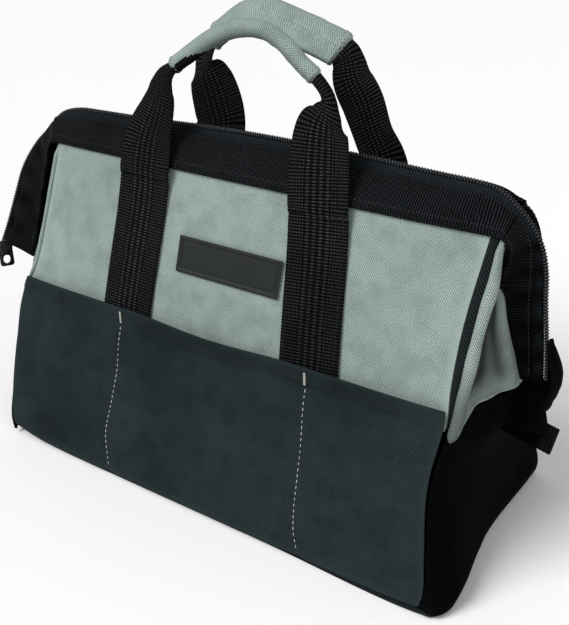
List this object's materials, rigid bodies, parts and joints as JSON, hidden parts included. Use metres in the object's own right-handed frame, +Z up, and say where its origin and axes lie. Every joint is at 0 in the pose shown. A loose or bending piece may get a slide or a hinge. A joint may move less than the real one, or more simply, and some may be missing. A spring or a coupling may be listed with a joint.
{
  "type": "zipped tool bag",
  "caption": "Soft tool bag with a wide zipped mouth, webbing carrying handles with cloth grips, and deep outer pockets, standing on its base.",
  "frame": {"origin": "on the floor under the middle of the base", "axes": "+X along the bag to its right end, +Y to the back, +Z up; the patch faces -Y"},
  "size_m": [0.4942, 0.2048, 0.3699],
  "materials": {
    "grey_cloth": "coarse woven sage grey polyester",
    "pocket_cloth": "charcoal woven polyester",
    "black_cloth": "black woven polyester, stiffened",
    "webbing": "ribbed black webbing",
    "zip_cloth": "twill zip tape and moulded coil",
    "patch_rubber": "soft matt moulded patch",
    "black_metal": "glossy black"
  },
  "bodies": {
    "root": {"front_panel": "grey_cloth", "back_panel": "grey_cloth", "ridge_front_left": "grey_cloth", "ridge_front_right": "grey_cloth", "ridge_back_left": "grey_cloth", "ridge_back_right": "grey_cloth", "gusset_front_right": "grey_cloth", "gusset_back_left": "grey_cloth", "gusset_back_right": "grey_cloth", "front_grip": "grey_cloth", "back_grip": "grey_cloth", "front_pocket": "pocket_cloth", "back_pocket": "pocket_cloth", "base_panel": "black_cloth", "left_end_panel": "black_cloth", "right_end_panel": "black_cloth", "strip_front_right": "black_cloth", "strip_back_left": "black_cloth", "strip_back_right": "black_cloth", "mouth_band_front": "webbing", "mouth_band_back": "webbing", "front_handle": "webbing", "back_handle": "webbing", "zip_tab": "webbing", "zip_tape_front": "zip_cloth", "zip_tape_back": "zip_cloth", "zip_coil": "zip_cloth", "zip_tail": "zip_cloth", "label_patch": "patch_rubber", "zip_slider": "black_metal"},
    "zip_pull": {"zip_pull": "black_metal"}
  },
  "joints": [
    {"name": "pull_swing", "type": "hinge", "parent": "root", "child": "zip_pull", "pos_m": [-0.23949, -0.05574, 0.15878], "axis": [0.5, 0.866, 0], "range_deg": [0, 150]}
  ]
}
